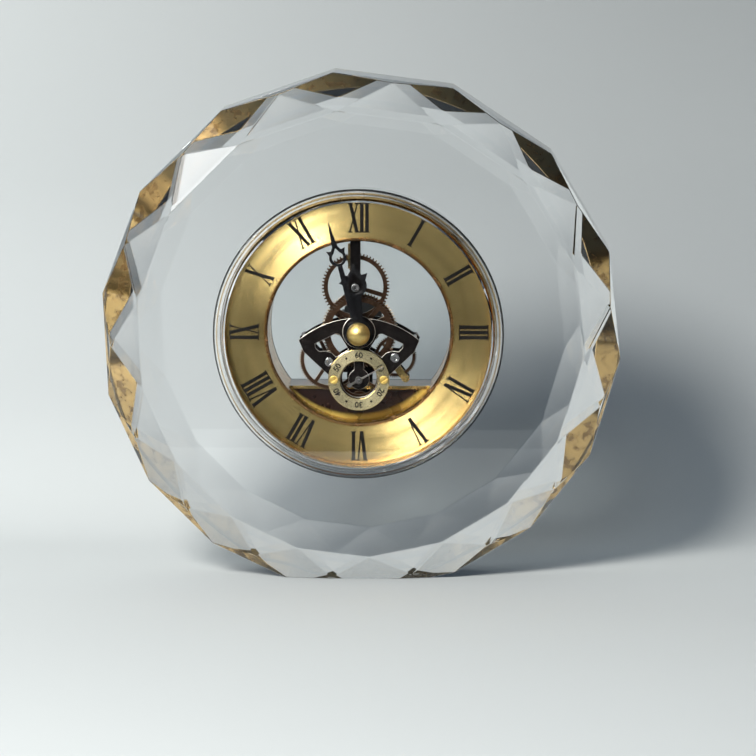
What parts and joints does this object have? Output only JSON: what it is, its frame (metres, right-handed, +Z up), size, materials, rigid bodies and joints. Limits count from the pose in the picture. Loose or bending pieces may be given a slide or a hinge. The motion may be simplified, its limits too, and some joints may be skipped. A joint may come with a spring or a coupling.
{
  "type": "crystal desk clock",
  "caption": "Round faceted crystal desk clock with a brass skeleton dial insert, Roman numerals, open gears, pierced hands and a small seconds dial.",
  "frame": {"origin": "on the flat ground base under the insert's axis, midway between the crystal's two tables", "axes": "+Z up, +Y from the dial towards the back, +X to the right seen from the front"},
  "size_m": [0.1595, 0.0432, 0.1566],
  "materials": {
    "crystal": "cut and polished",
    "lens": "polished",
    "brass": "satin",
    "dial_brass": "brushed round the axis",
    "copper": "polished copper colour",
    "bronze": "antique bronze",
    "black_plate": "gloss black with bright edges",
    "steel": "bright",
    "print": "printed black",
    "black_plastic": "smooth",
    "brown_gloss": "high gloss",
    "white_plastic": "smooth",
    "clear_rubber": "smooth",
    "cell_jacket": "smooth",
    "board": "solder mask",
    "copper_wire": "enamelled",
    "dark_magnet": "sintered"
  },
  "bodies": {
    "case": {"crystal_block": "crystal", "insert_gasket": "clear_rubber", "case_ring": "brass", "front_lens": "lens", "dial_ring": "dial_brass", "hour_numerals": "print", "dial_sleeve": "copper", "rear_cover": "black_plastic", "rear_window": "lens", "upper_bridge": "black_plate", "bridge_strip": "brass", "bridge_screw": "steel", "front_plate": "black_plate", "rear_plate": "black_plate", "plate_pillars": "steel", "pillar_screws": "steel", "bearing_bushes": "steel", "side_stay": "brass", "subdial_ring": "dial_brass", "subdial_dots": "print", "subdial_spacers": "steel", "subdial_screws": "brass", "battery_housing": "black_plastic", "housing_cover": "brown_gloss", "housing_edge": "brass", "dry_cell": "cell_jacket", "cell_contacts": "steel", "circuit_board": "board", "clock_chip": "black_plastic", "quartz_can": "steel", "coil_bobbin": "white_plastic", "coil_winding": "copper_wire", "stator": "steel"},
    "minute_train": {"centre_arbor": "steel", "cannon_pinion": "brass", "minute_hand": "black_plate", "hand_nut": "brass", "set_knob": "black_plastic"},
    "minute_wheel_train": {"minute_wheel": "bronze", "minute_pinion": "steel"},
    "hour_train": {"hour_wheel": "bronze", "hour_pipe": "brass", "hour_hand": "black_plate"},
    "seconds_train": {"seconds_wheel": "bronze", "seconds_arbor": "steel", "seconds_hand": "steel"},
    "third_train": {"third_wheel": "bronze", "third_pinion": "steel"},
    "centre_wheel": {"centre_wheel": "bronze"},
    "idler": {"idler_wheel": "bronze", "idler_arbor": "steel"},
    "first_train": {"first_wheel": "bronze", "first_pinion": "steel"},
    "rotor": {"rotor_magnet": "dark_magnet", "rotor_pinion": "steel"},
    "battery_door": {"battery_door": "black_plastic"}
  },
  "joints": [
    {"name": "minute_spin", "type": "hinge", "parent": "case", "child": "minute_train", "pos_m": [0, 0, 0.0769], "axis": [0, 1, 0], "continuous": true},
    {"name": "minute_wheel_spin", "type": "hinge", "parent": "case", "child": "minute_wheel_train", "pos_m": [-0.00114, 0, 0.09045], "axis": [0, 1, 0], "continuous": true},
    {"name": "hour_spin", "type": "hinge", "parent": "case", "child": "hour_train", "pos_m": [0, 0, 0.0769], "axis": [0, 1, 0], "continuous": true},
    {"name": "seconds_spin", "type": "hinge", "parent": "case", "child": "seconds_train", "pos_m": [0, 0, 0.0623], "axis": [0, 1, 0], "continuous": true},
    {"name": "third_spin", "type": "hinge", "parent": "case", "child": "third_train", "pos_m": [-0.00914, 0, 0.06756], "axis": [0, 1, 0], "continuous": true},
    {"name": "centre_wheel_spin", "type": "hinge", "parent": "case", "child": "centre_wheel", "pos_m": [0, 0, 0.0769], "axis": [0, 1, 0], "continuous": true},
    {"name": "idler_spin", "type": "hinge", "parent": "case", "child": "idler", "pos_m": [0.01108, 0, 0.06891], "axis": [0, 1, 0], "continuous": true},
    {"name": "first_spin", "type": "hinge", "parent": "case", "child": "first_train", "pos_m": [0, 0, 0.05477], "axis": [0, 1, 0], "continuous": true},
    {"name": "rotor_spin", "type": "hinge", "parent": "case", "child": "rotor", "pos_m": [0.00312, 0, 0.05298], "axis": [0, 1, 0], "continuous": true},
    {"name": "battery_door_slide", "type": "slide", "parent": "case", "child": "battery_door", "axis": [0, 1, 0], "range_m": [0, 0.012]}
  ],
  "couplings": [
    {"joint": "minute_wheel_spin", "follows": "minute_spin", "ratio": -0.33333},
    {"joint": "hour_spin", "follows": "minute_spin", "ratio": 0.083333},
    {"joint": "third_spin", "follows": "seconds_spin", "ratio": -0.125},
    {"joint": "centre_wheel_spin", "follows": "seconds_spin", "ratio": 0.016667},
    {"joint": "idler_spin", "follows": "seconds_spin", "ratio": -1},
    {"joint": "first_spin", "follows": "seconds_spin", "ratio": -6},
    {"joint": "rotor_spin", "follows": "seconds_spin", "ratio": 30}
  ]
}
